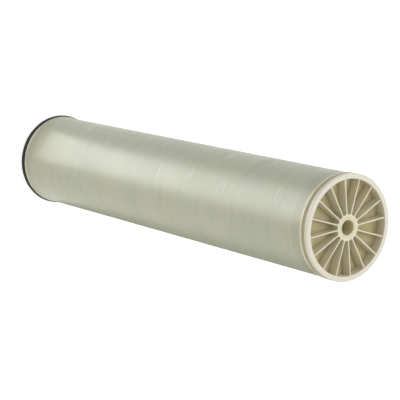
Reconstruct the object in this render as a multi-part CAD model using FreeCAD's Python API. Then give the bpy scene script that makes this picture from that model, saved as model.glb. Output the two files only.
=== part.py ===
"""Spiral-wound reverse-osmosis membrane element, 8 inch by 40 inch.

Millimetres. The element stands on its feed end: the axis of the permeate tube is +Z, the feed end
cap's rim face lies at z = 0 and the outlet end cap's rim face at z = element_length.
Radii are measured from that axis. Inside an end cap, depth is measured inwards from its rim face.
"""
import FreeCAD, Part
import math
import os

# --- Driving dimensions -------------------------------------------------------------------------

# Whole element
element_length = 1016.0         # rim face to rim face, 40 inches
cap_diameter = 201.0            # over the flanges, a sliding size in an 8 inch pressure vessel

# Permeate tube
port_bore = 28.6                # machined at both ends for an interconnector's O-ring barrel
tube_wall = 4.75                # at the ports
port_length = 75.0              # how far the machined bore runs in
port_step = 0.4                 # radial step down from the port to the bore as extruded
port_chamfer = 1.0              # lead-in for the O-rings
drain_hole = 3.2                # the holes that let the permeate into the tube
drain_rows = 2
drain_pitch = 300.0             # from hole to hole along a row
drain_margin = 100.0            # least distance from the roll's end to the first hole

# End cap (anti-telescoping device), one moulding used at both ends
vane_count = 16
vane_front = 2.4                # vane thickness at its outer edge
vane_draft = 0.4                # what each vane side gains from the outer edge to the roll
vane_root = 1.5                 # chamfer where a vane meets the hub and the rim
core_depth = 21.0               # rim face to the face that bears on the roll
hub_recess = 2.0                # hub, vanes and tube end stand this far behind the rim face
hub_wall = 5.4
rim_width = 10.0                # radial width of the rim face
rim_draft = 0.5                 # what the rim's bore narrows by, down to the roll
rim_chamfer = 1.2               # outer edge of the rim face
front_flange = 6.5              # flange between the rim face and the seal groove
groove_width = 9.5
groove_depth = 6.5
rear_flange = 4.0               # flange between the seal groove and the shell
skirt_length = 23.0             # collar round the roll's end, lapped by the shell
skirt_wall = 2.0

# Roll
leader_thickness = 1.0          # the permeate carrier's first turns on the tube
tape_thickness = 0.5

# Fibreglass shell
flange_proud = 1.3              # what the caps' flanges stand proud of the shell
lap_wall = 1.6                  # glass over a skirt

# Brine seal, a U-cup that opens towards the feed end
lip_reach = 2.5                 # what the free lip stands proud of the caps' flanges
lip_thickness = 1.8
leg_thickness = 1.9             # the inner leg, on the groove's floor
leg_setback = 0.7               # the inner leg's tip stands this far behind the front flange
heel_height = 4.0               # solid heel between the two legs
heel_setback = 0.7              # the heel's outer edge stands this far inside the flanges

# Clearances
hub_gap = 0.1                   # tube to hub, filled with adhesive
skirt_gap = 0.2                 # roll to skirt
seal_gap = 0.1                  # seal to the groove's floor

# --- Sizes that follow --------------------------------------------------------------------------

port_radius = port_bore / 2
tube_radius = port_radius + tube_wall
hub_bore_radius = tube_radius + hub_gap
hub_radius = hub_bore_radius + hub_wall

flange_radius = cap_diameter / 2
rim_radius = flange_radius - rim_width
groove_radius = flange_radius - groove_depth
shell_radius = flange_radius - flange_proud
skirt_radius = shell_radius - lap_wall
skirt_bore_radius = skirt_radius - skirt_wall
roll_radius = skirt_bore_radius - skirt_gap
leader_radius = tube_radius + leader_thickness
tape_radius = roll_radius + tape_thickness

groove_top = front_flange + groove_width
lap_start = groove_top + rear_flange
skirt_end = lap_start + skirt_length
roll_length = element_length - 2 * core_depth
vane_pitch = 360.0 / vane_count

AXIS = FreeCAD.Vector(0, 0, 1)
ORIGIN = FreeCAD.Vector(0, 0, 0)


# --- Helpers ------------------------------------------------------------------------------------

def turned(profile):
    """Solid of revolution about the element's axis from a closed outline of (radius, z) points."""
    points = [FreeCAD.Vector(radius, 0, z) for radius, z in profile]
    outline = Part.makePolygon(points + points[:1])
    return Part.Face(outline).revolve(ORIGIN, AXIS, 360)


def sleeve(inner_radius, outer_radius, start, end):
    """Plain tube between two heights."""
    return turned([(inner_radius, start), (outer_radius, start), (outer_radius, end), (inner_radius, end)])


def mirrored(lower_half):
    """Outline points that are the same at both ends of the element, given those of the feed end."""
    upper_half = [(radius, element_length - z) for radius, z in reversed(lower_half)]
    return lower_half + upper_half


def on_circle(radius, angle, z):
    """Point at an angle in radians from +X."""
    return FreeCAD.Vector(radius * math.cos(angle), radius * math.sin(angle), z)


# --- End caps -----------------------------------------------------------------------------------

def cap_blank():
    """The cap before its flow passages are cut: hub, disc, flanged rim and skirt in one turning."""
    return turned([
        (hub_bore_radius, hub_recess),
        (rim_radius, hub_recess),
        (rim_radius, 0),
        (flange_radius - rim_chamfer, 0),
        (flange_radius, rim_chamfer),
        (flange_radius, front_flange),
        (groove_radius, front_flange),
        (groove_radius, groove_top),
        (flange_radius, groove_top),
        (flange_radius, lap_start),
        (skirt_radius, lap_start),
        (skirt_radius, skirt_end),
        (skirt_bore_radius, skirt_end),
        (skirt_bore_radius, core_depth),
        (hub_bore_radius, core_depth),
    ])


def passage_outline(half_thickness, outer_radius, z):
    """Outline of one flow passage: two vane sides, each parallel to its vane, between hub and rim."""
    half_pitch = math.radians(vane_pitch / 2)
    hub_angle = half_pitch - math.asin(half_thickness / hub_radius)
    rim_angle = half_pitch - math.asin(half_thickness / outer_radius)
    hub_left = on_circle(hub_radius, hub_angle, z)
    hub_right = on_circle(hub_radius, -hub_angle, z)
    rim_left = on_circle(outer_radius, rim_angle, z)
    rim_right = on_circle(outer_radius, -rim_angle, z)
    edges = [
        Part.Arc(hub_left, on_circle(hub_radius, 0, z), hub_right).toShape(),
        Part.makeLine(hub_right, rim_right),
        Part.Arc(rim_right, on_circle(outer_radius, 0, z), rim_left).toShape(),
        Part.makeLine(rim_left, hub_left),
    ]
    return Part.Wire(edges)


def passage_cutter():
    """One drafted flow passage between two vanes, centred on +X, with its four corners chamfered."""
    front = passage_outline(vane_front / 2, rim_radius, hub_recess)
    back = passage_outline(vane_front / 2 + vane_draft, rim_radius - rim_draft, core_depth)
    cutter = Part.makeLoft([front, back], True, True)
    corners = [edge for edge in cutter.Edges if edge.BoundBox.ZLength > core_depth / 2]
    return cutter.makeChamfer(vane_root, corners)


def end_cap():
    """The end cap with its rim face at z = 0 and its skirt reaching up round the roll."""
    cutter = passage_cutter()
    passages = []
    for index in range(vane_count):
        passage = cutter.copy()
        passage.rotate(ORIGIN, AXIS, index * vane_pitch)
        passages.append(passage)
    return cap_blank().cut(passages)


def at_outlet(shape):
    """Turn a piece that is made for the feed end over, on to the outlet end."""
    turned_over = shape.copy()
    turned_over.rotate(ORIGIN, FreeCAD.Vector(1, 0, 0), 180)
    turned_over.translate(FreeCAD.Vector(0, 0, element_length))
    return turned_over


# --- Permeate tube ------------------------------------------------------------------------------

def drain_holes():
    """Straight rows of radial holes along the part of the tube that the roll covers."""
    first = core_depth + drain_margin
    last = element_length - first
    count = int((last - first) / drain_pitch) + 1
    spare = (last - first - (count - 1) * drain_pitch) / 2
    holes = []
    for row in range(drain_rows):
        angle = 2 * math.pi * row / drain_rows
        direction = on_circle(1, angle, 0)
        for index in range(count):
            start = FreeCAD.Vector(0, 0, first + spare + index * drain_pitch)
            holes.append(Part.makeCylinder(drain_hole / 2, tube_radius + 1, start, direction))
    return holes


def permeate_tube():
    """Product-water tube: machined ports at both ends, extruded bore and drain holes between."""
    port_end = hub_recess + port_length
    outside = [
        (tube_radius, hub_recess),
        (tube_radius, element_length - hub_recess),
    ]
    bore = mirrored([
        (port_radius + port_chamfer, hub_recess),
        (port_radius, hub_recess + port_chamfer),
        (port_radius, port_end),
        (port_radius - port_step, port_end + port_step),
    ])
    return turned(outside + bore[::-1]).cut(drain_holes())


# --- Roll ---------------------------------------------------------------------------------------

def carrier_leader():
    """The permeate carrier's first turns, wrapped on the tube under the leaves."""
    return sleeve(tube_radius, leader_radius, core_depth, core_depth + roll_length)


def membrane_roll():
    """All the leaves, carriers and feed spacers, wound tight and trimmed flush at both ends."""
    return sleeve(leader_radius, roll_radius, core_depth, core_depth + roll_length)


def tape_wrap():
    """The tape round the roll, butted against the skirts of both caps."""
    return sleeve(roll_radius, tape_radius, skirt_end, element_length - skirt_end)


# --- Fibreglass shell ---------------------------------------------------------------------------

def fibreglass_shell():
    """The wound shell: thin where it laps the skirts, thick over the tape between them."""
    outside = [
        (shell_radius, lap_start),
        (shell_radius, element_length - lap_start),
    ]
    bore = mirrored([
        (skirt_radius, lap_start),
        (skirt_radius, skirt_end),
        (tape_radius, skirt_end),
    ])
    return turned(outside + bore[::-1])


# --- Brine seal ---------------------------------------------------------------------------------

def brine_seal():
    """U-cup in the feed cap's groove: heel on the rear flange, flared lip open to the feed."""
    inner = groove_radius + seal_gap
    heel_radius = flange_radius - heel_setback
    lip_radius = flange_radius + lip_reach
    return turned([
        (inner, groove_top),
        (heel_radius, groove_top),
        (lip_radius, front_flange),
        (lip_radius - lip_thickness, front_flange),
        (heel_radius - lip_thickness, groove_top - heel_height),
        (inner + leg_thickness, groove_top - heel_height),
        (inner + leg_thickness, front_flange + leg_setback),
        (inner, front_flange + leg_setback),
    ])


# --- Nodes --------------------------------------------------------------------------------------

nodes = {
    "permeate_tube": permeate_tube(),
    "carrier_leader": carrier_leader(),
    "membrane_roll": membrane_roll(),
    "tape_wrap": tape_wrap(),
    "feed_end_cap": end_cap(),
    "outlet_end_cap": at_outlet(end_cap()),
    "fibreglass_shell": fibreglass_shell(),
    "brine_seal": brine_seal(),
}

os.makedirs("parts", exist_ok=True)
for name, shape in nodes.items():
    shape.exportStep(f"parts/{name}.step")
    print(f"{name}: {shape.Volume / 1000:.1f} cm3, valid {shape.isValid()}")
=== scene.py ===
import math
import random

import bmesh
import bpy
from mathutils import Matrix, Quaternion, Vector, noise


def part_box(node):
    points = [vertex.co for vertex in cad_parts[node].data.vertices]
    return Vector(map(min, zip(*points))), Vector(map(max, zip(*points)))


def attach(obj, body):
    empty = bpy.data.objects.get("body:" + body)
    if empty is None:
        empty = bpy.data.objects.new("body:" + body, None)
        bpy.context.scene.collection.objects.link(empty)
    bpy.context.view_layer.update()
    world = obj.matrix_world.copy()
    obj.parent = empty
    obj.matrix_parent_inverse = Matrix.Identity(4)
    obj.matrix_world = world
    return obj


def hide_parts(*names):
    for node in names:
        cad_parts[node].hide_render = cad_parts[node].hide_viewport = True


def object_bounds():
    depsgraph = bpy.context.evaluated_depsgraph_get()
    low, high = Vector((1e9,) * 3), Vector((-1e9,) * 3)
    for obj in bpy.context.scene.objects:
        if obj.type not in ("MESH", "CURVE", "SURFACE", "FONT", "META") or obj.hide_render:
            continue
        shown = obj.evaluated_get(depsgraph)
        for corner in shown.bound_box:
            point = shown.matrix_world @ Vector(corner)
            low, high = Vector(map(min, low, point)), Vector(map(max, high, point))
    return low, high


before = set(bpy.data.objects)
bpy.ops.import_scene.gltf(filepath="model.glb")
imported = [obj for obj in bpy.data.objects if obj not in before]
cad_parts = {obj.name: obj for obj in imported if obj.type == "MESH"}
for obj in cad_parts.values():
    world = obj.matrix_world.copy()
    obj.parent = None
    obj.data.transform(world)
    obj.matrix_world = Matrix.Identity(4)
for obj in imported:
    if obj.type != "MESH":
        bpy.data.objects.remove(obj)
cad_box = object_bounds()

# ---------------------------------------------------------------------------------------------
# Permeate tube. An extruded engineering-plastic pipe in the middle of the element, with machined
# O-ring ports at both ends. Only its two ends and the inside of the bore can be seen.
# ---------------------------------------------------------------------------------------------

tube_ivory = (0.72, 0.66, 0.44)
tube_yellowed = (0.68, 0.61, 0.36)
tube_line_shade = (0.60, 0.52, 0.30)
tube_edge_round = 0.0003
hard_edge = math.radians(30)    # anything sharper than this is rounded
same_point = 2e-6


def new_finish(name, roughness):
    """A new material and its one shader, at a given roughness."""
    finish = bpy.data.materials.new(name)
    finish.use_nodes = True
    shader = finish.node_tree.nodes["Principled BSDF"]
    shader.inputs["Roughness"].default_value = roughness
    return finish, shader


def add_node(finish, kind, **settings):
    """One more node in a material, with its settings."""
    node = finish.node_tree.nodes.new(kind)
    for key, value in settings.items():
        setattr(node, key, value)
    return node


def join(finish, source, target):
    """A link from one node's output to another's input."""
    finish.node_tree.links.new(source, target)


def object_point(finish):
    """The point being shaded, in metres in the element's own frame."""
    return add_node(finish, "ShaderNodeTexCoord").outputs["Object"]


def stretched(finish, stretch):
    """The shaded point with each axis multiplied, so that noise on it is drawn out or squeezed."""
    mapping = add_node(finish, "ShaderNodeMapping")
    mapping.inputs["Scale"].default_value = stretch
    join(finish, object_point(finish), mapping.inputs["Vector"])
    return mapping.outputs["Vector"]


def cloud(finish, point, scale, detail=3.0, rough=0.5):
    """A noise from 0 to 1 on a point."""
    texture = add_node(finish, "ShaderNodeTexNoise")
    texture.inputs["Scale"].default_value = scale
    texture.inputs["Detail"].default_value = detail
    texture.inputs["Roughness"].default_value = rough
    join(finish, point, texture.inputs["Vector"])
    return texture.outputs["Fac"]


def step_between(finish, value, low, high, to_low=0.0, to_high=1.0):
    """Value carried from the span low..high to the span to_low..to_high, and held at its ends."""
    ranged = add_node(finish, "ShaderNodeMapRange")
    ranged.inputs["From Min"].default_value = low
    ranged.inputs["From Max"].default_value = high
    ranged.inputs["To Min"].default_value = to_low
    ranged.inputs["To Max"].default_value = to_high
    join(finish, value, ranged.inputs["Value"])
    return ranged.outputs["Result"]


def sums(finish, operation, first, second):
    """One arithmetic node. The second operand may be a number."""
    maths = add_node(finish, "ShaderNodeMath", operation=operation)
    join(finish, first, maths.inputs[0])
    if isinstance(second, float):
        maths.inputs[1].default_value = second
    else:
        join(finish, second, maths.inputs[1])
    return maths.outputs["Value"]


def tint(finish, amount, base, over):
    """Colour base turning to colour over as amount goes from 0 to 1. Base may be an output."""
    mixer = add_node(finish, "ShaderNodeMix", data_type="RGBA")
    join(finish, amount, mixer.inputs["Factor"])
    under_socket, over_socket, mixed = mixer.inputs[6], mixer.inputs[7], mixer.outputs[2]
    if isinstance(base, tuple):
        under_socket.default_value = (*base, 1)
    else:
        join(finish, base, under_socket)
    over_socket.default_value = (*over, 1)
    return mixed


def coat(finish, shader, colour):
    """The colour that a material ends up with."""
    join(finish, colour, shader.inputs["Base Color"])


def relief(finish, shader, height, depth, strength=1.0):
    """Bump of a given depth in metres on the whole surface."""
    bump = add_node(finish, "ShaderNodeBump")
    bump.inputs["Strength"].default_value = strength
    bump.inputs["Distance"].default_value = depth
    join(finish, height, bump.inputs["Height"])
    join(finish, bump.outputs["Normal"], shader.inputs["Normal"])


def dress(piece, finish):
    """The piece wears this material and no other."""
    piece.data.materials.clear()
    piece.data.materials.append(finish)


def machined_tube_plastic():
    """Ivory pipe plastic: drawn-out extrusion lines along Z and a slight yellowing."""
    finish, shader = new_finish("tube_plastic", 0.42)
    lines = cloud(finish, stretched(finish, (260, 260, 3)), 1.0, 2.0)
    mottle = cloud(finish, object_point(finish), 30.0, 3.0)
    base = tint(finish, mottle, tube_ivory, tube_yellowed)
    scored = step_between(finish, lines, 0.5, 0.8, 0.0, 0.4)
    coat(finish, shader, tint(finish, scored, base, tube_line_shade))
    relief(finish, shader, lines, 0.00015, 0.3)
    return finish


def finished_copy(node, name, edge, finish):
    """The CAD piece with its hard edges rounded to a radius, standing in for the CAD piece."""
    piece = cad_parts[node].copy()
    piece.data = piece.data.copy()
    piece.name = name
    piece.parent = None
    for key in list(piece.keys()):
        del piece[key]
    bpy.context.scene.collection.objects.link(piece)
    shape = bmesh.new()
    shape.from_mesh(piece.data)
    bmesh.ops.remove_doubles(shape, verts=shape.verts, dist=same_point)
    shape.to_mesh(piece.data)
    shape.free()
    dress(piece, finish)
    bevel = piece.modifiers.new("rounding", "BEVEL")
    bevel.width = edge
    bevel.segments = 2
    bevel.limit_method = "ANGLE"
    bevel.angle_limit = hard_edge
    bevel.miter_outer = "MITER_ARC"
    piece.data.shade_smooth()
    normals = piece.modifiers.new("flat faces", "WEIGHTED_NORMAL")
    normals.keep_sharp = True
    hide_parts(node)
    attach(piece, "root")


finished_copy("permeate_tube", "permeate_pipe", tube_edge_round, machined_tube_plastic())

# ---------------------------------------------------------------------------------------------
# Permeate carrier leader and tape. White knitted tricot wound on the tube under the leaves, and
# the adhesive tape that holds the finished roll. Both are closed in by the roll and the shell.
# ---------------------------------------------------------------------------------------------

knit_white = (0.80, 0.79, 0.72)
knit_shade = (0.66, 0.64, 0.55)
tape_pale = (0.66, 0.66, 0.58)
tape_overlap = (0.56, 0.55, 0.44)


def knitted_carrier():
    """Fine ribs of the knit, running along the element."""
    finish, shader = new_finish("carrier_fabric", 0.8)
    ribs = cloud(finish, stretched(finish, (900, 900, 120)), 1.0, 1.0)
    coat(finish, shader, tint(finish, ribs, knit_white, knit_shade))
    relief(finish, shader, ribs, 0.0002)
    return finish


def wrapping_tape():
    """Slightly glossy film with the edges of its overlapping turns."""
    finish, shader = new_finish("tape", 0.35)
    turns = cloud(finish, stretched(finish, (2, 2, 60)), 1.0, 1.0)
    coat(finish, shader, tint(finish, turns, tape_pale, tape_overlap))
    relief(finish, shader, turns, 0.0001)
    return finish


dress(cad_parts["carrier_leader"], knitted_carrier())
dress(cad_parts["tape_wrap"], wrapping_tape())

# ---------------------------------------------------------------------------------------------
# Membrane roll. Leaves of membrane glued round a permeate carrier, with a feed spacer net between
# them, wound on the tube and trimmed flush. Its cut ends show between the vanes of the end caps.
# ---------------------------------------------------------------------------------------------

leaf_count = 28
leaf_thickness = 0.00055
leaf_pitch = 0.0013
leaf_waver = 0.00016            # how far a leaf strays from its spiral
leaf_set_back = 0.00012         # cut edges stand this far behind the roll's end
trim_unevenness = 0.00012
spacer_set_back = 0.0011
steps_per_turn = 72
roll_steps_round = 96
tape_clearance = 0.0001
straw = (0.72, 0.66, 0.42)
straw_brown = (0.65, 0.59, 0.34)
cut_fibre = (0.80, 0.74, 0.54)

roll_low, roll_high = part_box("membrane_roll")
roll_radius = roll_high.x
leader_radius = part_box("carrier_leader")[1].x


def mesh_piece(name, points, faces, finish, smooth=True):
    """A new mesh object made from points and faces, in one material."""
    mesh = bpy.data.meshes.new(name)
    mesh.from_pydata(points, [], faces)
    mesh.update()
    piece = bpy.data.objects.new(name, mesh)
    bpy.context.scene.collection.objects.link(piece)
    if smooth:
        mesh.shade_smooth()
    dress(piece, finish)
    return piece


def lathe(outline, steps, wobble=None):
    """Points and quads of a closed (radius, z) outline turned about the element's axis."""
    points = []
    for index in range(steps):
        angle = 2 * math.pi * index / steps
        for radius, z in outline:
            out = wobble(radius, angle, z) if wobble else radius
            points.append((out * math.cos(angle), out * math.sin(angle), z))
    count = len(outline)
    faces = []
    for index in range(steps):
        after = (index + 1) % steps
        for corner in range(count):
            following = (corner + 1) % count
            faces.append((index * count + corner, after * count + corner,
                          after * count + following, index * count + following))
    return points, faces


def leaf_line(leaf, side):
    """Plan of one leaf's edge as (radius, angle) pairs, from the leader out to the tape."""
    advance = leaf_count * leaf_pitch
    start = 2 * math.pi * leaf / leaf_count
    line = []
    step = 0
    while True:
        angle = 2 * math.pi * step / steps_per_turn
        radius = leader_radius + advance * angle / (2 * math.pi) + side * leaf_thickness / 2
        place = Vector((math.cos(angle + start), math.sin(angle + start), 0)) * radius * 60
        radius += leaf_waver * noise.noise(place + Vector((0, 0, leaf * 0.37)))
        if radius > roll_radius - 2 * tape_clearance:
            return line
        if radius > leader_radius + tape_clearance:
            line.append((radius, angle + start))
        step += 1


def leaf_ends(face, inward):
    """Raised cut edges of all the leaves at one end: top strip and two side walls each."""
    points, faces = [], []
    for leaf in range(leaf_count):
        inner, outer = leaf_line(leaf, -1), leaf_line(leaf, 1)
        length = min(len(inner), len(outer))
        base = len(points)
        for near, far in zip(inner[:length], outer[:length]):
            trim = trim_unevenness * noise.noise(Vector((near[0] * 300, near[1] * 9, leaf)))
            top = face + inward * (leaf_set_back + trim)
            floor = face + inward * spacer_set_back
            for (radius, angle), z in ((near, floor), (near, top), (far, top), (far, floor)):
                points.append((radius * math.cos(angle), radius * math.sin(angle), z))
        for index in range(length - 1):
            here = base + 4 * index
            for strip in range(3):
                quad = (here + strip, here + strip + 1, here + strip + 5, here + strip + 4)
                faces.append(quad if inward < 0 else quad[::-1])
    return points, faces


def trimmed_roll():
    """Straw-coloured cut edges with browner glue stains and pale cut fibres."""
    finish, shader = new_finish("membrane", 0.62)
    blotch = cloud(finish, object_point(finish), 38.0, 4.0)
    fine = cloud(finish, object_point(finish), 900.0, 2.0)
    base = tint(finish, step_between(finish, blotch, 0.35, 0.7), straw, straw_brown)
    fibres = step_between(finish, fine, 0.45, 0.8, 0.0, 0.5)
    coat(finish, shader, tint(finish, fibres, base, cut_fibre))
    relief(finish, shader, fine, 0.0003, 0.5)
    return finish


roll_points, roll_faces = lathe([
    (leader_radius, roll_low.z + spacer_set_back),
    (roll_radius - tape_clearance, roll_low.z + spacer_set_back),
    (roll_radius - tape_clearance, roll_high.z - spacer_set_back),
    (leader_radius, roll_high.z - spacer_set_back),
], roll_steps_round)
for face_z, inward in ((roll_low.z, 1), (roll_high.z, -1)):
    more_points, more_faces = leaf_ends(face_z, inward)
    first = len(roll_points)
    roll_points += more_points
    roll_faces += [tuple(first + corner for corner in quad) for quad in more_faces]
wound_leaves = mesh_piece("wound_leaves", roll_points, roll_faces, trimmed_roll(), smooth=False)
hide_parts("membrane_roll")
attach(wound_leaves, "root")

# ---------------------------------------------------------------------------------------------
# End caps. Ivory ABS mouldings, one on each end, which stop the roll from telescoping under the
# feed flow. The hub is glued to the tube, and the skirt is held under the fibreglass.
# ---------------------------------------------------------------------------------------------

cap_edge_round = 0.0005
cap_ivory = (0.70, 0.652, 0.50)
cap_ivory_warm = (0.67, 0.62, 0.455)
mould_speck = (0.50, 0.43, 0.27)
# paler, cooler ivory painted on the rim faces as a sheen
rim_sheen_ivory = (0.70, 0.665, 0.57)
half_height = cad_box[1].z / 2


def moulded_ivory():
    """Satin ABS: flow clouds, specks, a fine moulded grain, and a painted sheen that makes the rim
    faces paler in patches.
    """
    finish, shader = new_finish("cap_plastic", 0.40)
    clouds = cloud(finish, object_point(finish), 14.0, 4.0)
    base = tint(finish, step_between(finish, clouds, 0.35, 0.7), cap_ivory, cap_ivory_warm)
    specks = cloud(finish, object_point(finish), 700.0, 1.0)
    base = tint(finish, step_between(finish, specks, 0.72, 0.76, 0.0, 0.35), base, mould_speck)
    place = add_node(finish, "ShaderNodeSeparateXYZ")
    join(finish, object_point(finish), place.inputs["Vector"])
    from_middle = sums(finish, "SUBTRACT", place.outputs["Z"], half_height)
    from_middle = sums(finish, "ABSOLUTE", from_middle, 0.0)
    # Painted sheen: the rim faces are made paler and cooler, in uneven patches from a noise.
    rim_face = step_between(finish, from_middle, half_height - 0.0016, half_height - 0.0006)
    rim_sheen_noise = cloud(finish, object_point(finish), 160.0, 4.0, 0.7)
    rim_sheen_patches = step_between(finish, rim_sheen_noise, 0.35, 0.65, 0.45, 1.0)
    painted_rim_sheen = sums(finish, "MULTIPLY", rim_face, rim_sheen_patches)
    coat(finish, shader, tint(finish, painted_rim_sheen, base, rim_sheen_ivory))
    join(finish, step_between(finish, clouds, 0.3, 0.7, 0.36, 0.48), shader.inputs["Roughness"])
    grain = cloud(finish, object_point(finish), 1500.0, 2.0)
    relief(finish, shader, grain, 0.00004, 0.5)
    return finish


ivory = moulded_ivory()
finished_copy("outlet_end_cap", "outlet_cap_moulding", cap_edge_round, ivory)
finished_copy("feed_end_cap", "feed_cap_moulding", cap_edge_round, ivory)

# ---------------------------------------------------------------------------------------------
# Fibreglass shell. Glass rovings wound wet round the taped roll and over the skirts of both caps,
# then cured on the winder. Clear greenish resin shows the white glass and the roll's tint below.
# ---------------------------------------------------------------------------------------------

shell_low, shell_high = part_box("fibreglass_shell")
shell_radius = shell_high.x
shell_thickness = 0.0012
shell_inset = 0.0002            # the winding's mean surface lies this far inside its full radius
swell_depth = 0.00022
crossing_depth = 0.00003
crossing_pitch = 180            # radians of crossing pattern to a metre of length
feed_skirt_end = 0.0445
outlet_skirt_end = shell_low.z + shell_high.z - feed_skirt_end
skirt_blur = 0.0015
feed_skirt_share = 0.4          # the feed end's skirt shows this much as strongly as the outlet's
shell_steps_round = 224
shell_steps_along = 240
smooth_shading_limit = math.radians(40)
wet_glass = (0.43, 0.44, 0.295)
wet_glass_grey = (0.40, 0.415, 0.29)
glass_turn = (0.52, 0.54, 0.42)
resin_smear = (0.34, 0.35, 0.23)
unwetted_glass = (0.74, 0.75, 0.68)
skirt_shade = (0.33, 0.30, 0.205)
resin_pit = (0.78, 0.79, 0.72)


def wound_surface(radius, angle, z):
    """The slight unevenness of a hand-finished winding, deepest where rovings cross."""
    place = Vector((math.cos(angle) * 1.1, math.sin(angle) * 1.1, z * 9))
    swell = noise.noise(place * 1.7) * swell_depth
    one_helix = math.sin(z * crossing_pitch + 2 * angle)
    other_helix = math.sin(z * crossing_pitch - 2 * angle)
    return radius - shell_inset + swell + one_helix * other_helix * crossing_depth


def band(finish, height, low, high, soft):
    """1 between two heights and 0 outside them, with edges of the given softness."""
    rising = step_between(finish, height, low - soft, low + soft)
    falling = step_between(finish, height, high - soft, high + soft, 1.0, 0.0)
    return sums(finish, "MULTIPLY", rising, falling)


def wound_fibreglass():
    """Hoop-wise glass in greenish resin: smears, unwetted patches, darker skirts and small pits."""
    finish, shader = new_finish("fibreglass", 0.40)
    point = object_point(finish)
    height = add_node(finish, "ShaderNodeSeparateXYZ")
    join(finish, point, height.inputs["Vector"])
    turns = cloud(finish, stretched(finish, (7, 7, 420)), 1.0, 3.0)
    fine = cloud(finish, stretched(finish, (14, 14, 1500)), 1.0, 2.0)
    patches = cloud(finish, point, 7.0, 3.0)
    smears = cloud(finish, stretched(finish, (11, 11, 46)), 1.0, 4.0, 0.6)
    base = tint(finish, step_between(finish, patches, 0.35, 0.68), wet_glass, wet_glass_grey)
    base = tint(finish, step_between(finish, turns, 0.35, 0.75, 0.0, 0.16), base, glass_turn)
    base = tint(finish, step_between(finish, smears, 0.50, 0.70, 0.0, 0.45), base, resin_smear)
    starved = step_between(finish, cloud(finish, point, 11.0, 2.0), 0.52, 0.66)
    dry = sums(finish, "MULTIPLY", step_between(finish, fine, 0.60, 0.72), starved)
    base = tint(finish, sums(finish, "MULTIPLY", dry, 0.45), base, unwetted_glass)
    outlet_skirt = band(finish, height.outputs["Z"], outlet_skirt_end, shell_high.z, skirt_blur)
    feed_skirt = band(finish, height.outputs["Z"], shell_low.z, feed_skirt_end, skirt_blur)
    feed_skirt = sums(finish, "MULTIPLY", feed_skirt, feed_skirt_share)
    skirts = sums(finish, "MAXIMUM", outlet_skirt, feed_skirt)
    streaks = cloud(finish, stretched(finish, (26, 26, 700)), 1.0, 3.0)
    streaks = step_between(finish, streaks, 0.3, 0.7, 0.15, 0.60)
    base = tint(finish, sums(finish, "MULTIPLY", skirts, streaks), base, skirt_shade)
    pits = cloud(finish, point, 420.0, 1.0)
    base = tint(finish, step_between(finish, pits, 0.74, 0.78, 0.0, 0.5), base, resin_pit)
    coat(finish, shader, base)
    join(finish, step_between(finish, patches, 0.3, 0.7, 0.36, 0.44), shader.inputs["Roughness"])
    relief(finish, shader, sums(finish, "ADD", turns, fine), 0.00005, 0.4)
    return finish


def shell_outline():
    """Closed outline of the shell: a plain bore and an outer line with many points."""
    low, high = shell_low.z, shell_high.z
    inside = [(shell_radius - shell_thickness, high), (shell_radius - shell_thickness, low)]
    outer = []
    for index in range(shell_steps_along + 1):
        z = low + (high - low) * index / shell_steps_along
        outer.append((shell_radius, z))
    return inside + outer


def shell_wobble(radius, angle, z):
    """Unevenness on the outside only; the bore stays round."""
    return wound_surface(radius, angle, z) if radius == shell_radius else radius


shell_points, shell_faces = lathe(shell_outline(), shell_steps_round, shell_wobble)
wound_shell = mesh_piece("wound_shell", shell_points, shell_faces, wound_fibreglass())
wound_shell.data.set_sharp_from_angle(angle=smooth_shading_limit)
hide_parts("fibreglass_shell")
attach(wound_shell, "root")

# ---------------------------------------------------------------------------------------------
# Dry glass strands. Loose filaments that the resin did not wet through. They lie along the winding
# in short white arcs, in clusters where a roving ran dry, with a few single ones all round.
# ---------------------------------------------------------------------------------------------

strand_clusters = [             # height, angle in degrees, how many
    (0.180, 108, 6), (0.350, 104, 5), (0.372, 110, 3), (0.425, 112, 6), (0.480, 110, 5),
    (0.632, 100, 5), (0.690, 102, 7), (0.706, 112, 6), (0.778, 104, 6), (0.830, 114, 3),
    (0.530, 156, 3), (0.640, 150, 3), (0.752, 160, 3), (0.925, 152, 4), (0.300, 132, 3),
    (0.240, 292, 5), (0.610, 310, 6), (0.820, 20, 5), (0.430, 50, 5), (0.130, 350, 3),
]
strand_width = 0.0013
strand_lift = 0.00018
strand_edge_sink = 0.0001
strand_waver = 0.0006
cluster_height = 0.009
cluster_degrees = 5
strand_drift = 0.0015
single_strands = 36
glass_shade = (0.62, 0.63, 0.57)
glass_white = (0.82, 0.83, 0.79)


def dry_glass():
    """White glass with a faint break-up along each strand."""
    finish, shader = new_finish("dry_glass", 0.5)
    broken = cloud(finish, object_point(finish), 260.0, 2.0)
    broken_up = step_between(finish, broken, 0.35, 0.65)
    coat(finish, shader, tint(finish, broken_up, glass_shade, glass_white))
    relief(finish, shader, broken, 0.00005, 0.5)
    return finish


def lay_strand(points, faces, height, angle, sweep, width, drift):
    """One ribbon that lies along the winding and thins towards both ends."""
    steps = max(6, int(math.degrees(sweep)))
    base = len(points)
    for index in range(steps + 1):
        along = index / steps
        half = width / 2 * max(0.06, math.sin(math.pi * along) ** 0.5)
        around = angle + sweep * (along - 0.5)
        z = height + drift * (along - 0.5) + strand_waver * math.sin(5 * along + height * 900)
        for side, rise in ((-half, -strand_edge_sink), (0, strand_lift), (half, -strand_edge_sink)):
            out = wound_surface(shell_radius, around, z + side) + rise
            points.append((out * math.cos(around), out * math.sin(around), z + side))
        if index:
            for edge in (0, 1):
                here = base + 3 * index + edge
                faces.append((here - 3, here, here + 1, here - 2))


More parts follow.
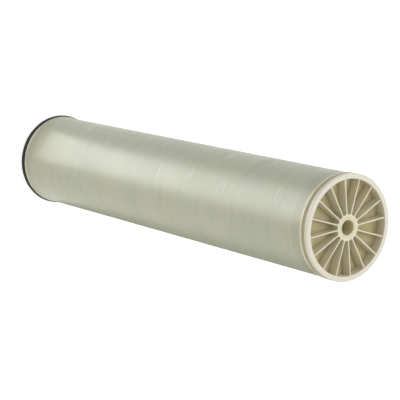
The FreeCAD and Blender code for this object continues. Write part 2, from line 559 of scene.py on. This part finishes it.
winder = random.Random(8040)
strand_points, strand_faces = [], []
for height, angle, count in strand_clusters:
    for _ in range(count):
        lay_strand(strand_points, strand_faces,
                   height + winder.gauss(0, cluster_height),
                   math.radians(angle + winder.gauss(0, cluster_degrees)),
                   math.radians(winder.uniform(5, 22)),
                   strand_width * winder.uniform(0.5, 1.3),
                   winder.gauss(0, strand_drift))
for _ in range(single_strands):
    lay_strand(strand_points, strand_faces,
               winder.uniform(0.04, 0.975),
               winder.uniform(0, 2 * math.pi),
               math.radians(winder.uniform(2, 9)),
               strand_width * winder.uniform(0.4, 0.8),
               0.0)
glass_strands = mesh_piece("glass_strands", strand_points, strand_faces, dry_glass())
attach(glass_strands, "root")

# ---------------------------------------------------------------------------------------------
# Resin beads. Surplus resin that ran against the caps' rear flanges and set there as an uneven
# fillet round both ends of the shell.
# ---------------------------------------------------------------------------------------------

bead_run, bead_run_varies = 0.0022, 0.0012      # along the shell
bead_rise, bead_rise_varies = 0.0008, 0.0003    # up the flange
bead_root = 0.0003                              # starts this far inside the shell's full radius
bead_steps_round = 180
bead_steps_along = 4
khaki_resin = (0.44, 0.43, 0.28)
bubbled_resin = (0.55, 0.53, 0.38)


def set_resin():
    """Clear khaki resin with paler bubbles."""
    finish, shader = new_finish("set_resin", 0.32)
    clouded = cloud(finish, object_point(finish), 120.0, 3.0)
    bubbled = step_between(finish, clouded, 0.35, 0.7)
    coat(finish, shader, tint(finish, bubbled, khaki_resin, bubbled_resin))
    relief(finish, shader, clouded, 0.0002, 0.5)
    return finish


def resin_bead(name, flange, inward):
    """A fillet from the shell's surface up the side of the flange, of uneven width and height."""
    points, faces = [], []
    ring = bead_steps_along + 1
    for index in range(bead_steps_round):
        angle = 2 * math.pi * index / bead_steps_round
        uneven = noise.noise(Vector((math.cos(angle) * 4, math.sin(angle) * 4, flange * 7)))
        run = bead_run + bead_run_varies * uneven
        rise = bead_rise + bead_rise_varies * uneven
        for step in range(ring):
            along = step / bead_steps_along
            z = flange + inward * run * along
            out = shell_radius - bead_root + rise * (1 - along) ** 2
            points.append((out * math.cos(angle), out * math.sin(angle), z))
    for index in range(bead_steps_round):
        here, after = index * ring, (index + 1) % bead_steps_round * ring
        for step in range(bead_steps_along):
            quad = (here + step, after + step, after + step + 1, here + step + 1)
            faces.append(quad if inward > 0 else quad[::-1])
    bead = mesh_piece(name, points, faces, resin)
    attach(bead, "root")


resin = set_resin()
resin_bead("feed_resin_bead", shell_low.z, 1)
resin_bead("outlet_resin_bead", shell_high.z, -1)

# ---------------------------------------------------------------------------------------------
# Brine seal. A moulded black rubber U-cup stretched into the groove of the feed end cap, with its
# free lip flared towards the feed so that the pressure spreads it against the vessel.
# ---------------------------------------------------------------------------------------------

seal_edge_round = 0.0004
rubber_black = (0.008, 0.008, 0.007)
rubber_bloom = (0.02, 0.02, 0.018)


def moulded_rubber():
    """Matt black rubber with a faint grey bloom and a moulded grain."""
    finish, shader = new_finish("seal_rubber", 0.55)
    shader.inputs["Specular IOR Level"].default_value = 0.25
    bloom = cloud(finish, object_point(finish), 60.0, 4.0)
    bloomed = step_between(finish, bloom, 0.4, 0.75)
    coat(finish, shader, tint(finish, bloomed, rubber_black, rubber_bloom))
    join(finish, step_between(finish, bloom, 0.3, 0.7, 0.45, 0.65), shader.inputs["Roughness"])
    grain = cloud(finish, object_point(finish), 1200.0, 2.0)
    relief(finish, shader, grain, 0.00005, 0.5)
    return finish


finished_copy("brine_seal", "lip_seal", seal_edge_round, moulded_rubber())

# ---------------------------------------------------------------------------------------------
# Studio. A plain pale floor under the element, three soft lamps, cards on the floor that only the
# element's gloss can see, and the camera.
# ---------------------------------------------------------------------------------------------

floor_grey = 0.6
floor_lift = 0.66               # brings the lit floor to paper white where it is seen
half_floor = 15.0
sky_light = 0.6
sky_white = 1.0
card_height = 0.0004
card_reach = 2.5
card_foot = 0.106               # just outside the brine seal
card_steps = 24
middle = Vector((0, 0, half_height))


def white_floor():
    """Matte grey that takes the shadow, lifted to white for the camera and in reflections."""
    finish, shader = new_finish("studio_floor", 0.9)
    shader.inputs["Base Color"].default_value = (floor_grey, floor_grey, floor_grey, 1)
    path = add_node(finish, "ShaderNodeLightPath")
    seen = sums(finish, "MAXIMUM", path.outputs["Is Camera Ray"], path.outputs["Is Glossy Ray"])
    seen = sums(finish, "MAXIMUM", seen, path.outputs["Is Transmission Ray"])
    shader.inputs["Emission Color"].default_value = (1, 1, 1, 1)
    join(finish, sums(finish, "MULTIPLY", seen, floor_lift), shader.inputs["Emission Strength"])
    return finish


floor_corners = [(-half_floor, -half_floor, 0), (half_floor, -half_floor, 0),
                 (half_floor, half_floor, 0), (-half_floor, half_floor, 0)]
floor = mesh_piece("studio_floor", floor_corners, [(0, 1, 2, 3)], white_floor(), smooth=False)

world = bpy.data.worlds.new("studio")
bpy.context.scene.world = world
world.use_nodes = True
sky = world.node_tree.nodes["Background"]
sky.inputs["Color"].default_value = (1, 1, 1, 1)
seen_path = world.node_tree.nodes.new("ShaderNodeLightPath")
seen = seen_path.outputs["Is Camera Ray"]
for ray in ("Is Glossy Ray", "Is Transmission Ray"):
    either = world.node_tree.nodes.new("ShaderNodeMath")
    either.operation = "MAXIMUM"
    world.node_tree.links.new(seen, either.inputs[0])
    world.node_tree.links.new(seen_path.outputs[ray], either.inputs[1])
    seen = either.outputs["Value"]
lift = world.node_tree.nodes.new("ShaderNodeMapRange")
lift.inputs["To Min"].default_value = sky_light
lift.inputs["To Max"].default_value = sky_white
world.node_tree.links.new(seen, lift.inputs["Value"])
world.node_tree.links.new(lift.outputs["Result"], sky.inputs["Strength"])


def soft_lamp(name, azimuth, elevation, distance, side, brightness, colour=(1, 1, 1)):
    """A square lamp facing the element's middle. Brightness is the radiance of its face."""
    lamp = bpy.data.lights.new(name, "AREA")
    lamp.shape = "SQUARE"
    lamp.size = side
    lamp.energy = brightness * math.pi * side * side
    lamp.color = colour
    holder = bpy.data.objects.new(name, lamp)
    around, up = math.radians(azimuth), math.radians(elevation)
    away = Vector((math.cos(around) * math.cos(up), math.sin(around) * math.cos(up), math.sin(up)))
    holder.location = middle + away * distance
    holder.rotation_mode = "QUATERNION"
    holder.rotation_quaternion = (-away).to_track_quat("-Z", "Y")
    holder.visible_camera = False
    bpy.context.scene.collection.objects.link(holder)


def floor_card(name, first, last, brightness, start=card_foot):
    """A sector of lit card on the floor round the element, which only its gloss can see."""
    finish, shader = new_finish(name, 0.9)
    shader.inputs["Base Color"].default_value = (0, 0, 0, 1)
    shader.inputs["Emission Color"].default_value = (1, 1, 1, 1)
    shader.inputs["Emission Strength"].default_value = brightness
    points, faces = [], []
    for index in range(card_steps + 1):
        angle = math.radians(first + (last - first) * index / card_steps)
        for radius in (start, card_reach):
            points.append((radius * math.cos(angle), radius * math.sin(angle), card_height))
        if index:
            faces.append((2 * index - 2, 2 * index - 1, 2 * index + 1, 2 * index))
    card = mesh_piece(name, points, faces, finish, smooth=False)
    card.visible_camera = False
    card.visible_diffuse = False
    card.visible_shadow = False
    card.visible_transmission = False


soft_lamp("front_softbox", 220, 4, 2.6, 1.6, 2.5)
soft_lamp("rear_softbox", 80, 25, 2.4, 1.4, 1.0, (0.84, 0.91, 1.0))
soft_lamp("cap_softbox", 10, 70, 2.4, 1.3, 3.3)
floor_card("pale_card", 20, 112, 1.3)
floor_card("bright_card", 120, 179, 5.6, 0.15)
floor_card("low_card", 184, 262, 1.4)
floor_card("dark_card", 268, 345, 0.15)

camera_aim = Vector((-0.0127, -0.01305, 0.57996))
camera_azimuth = math.radians(-101.393)
camera_elevation = math.radians(52.225)
camera_roll = math.radians(103.823)
camera_distance = 3.0506
camera_lens = 134.134
film_width = 36
camera_data = bpy.data.cameras.new("camera")
camera_data.sensor_width = film_width
camera_data.lens = camera_lens
camera = bpy.data.objects.new("camera", camera_data)
bpy.context.scene.collection.objects.link(camera)
back = Vector((math.sin(camera_azimuth) * math.cos(camera_elevation),
               -math.cos(camera_azimuth) * math.cos(camera_elevation),
               math.sin(camera_elevation)))
camera.location = camera_aim + back * camera_distance
camera.rotation_mode = "QUATERNION"
camera.rotation_quaternion = (-back).to_track_quat("-Z", "Y") @ Quaternion((0, 0, 1), camera_roll)
bpy.context.scene.camera = camera
bpy.context.scene.view_settings.view_transform = "Standard"
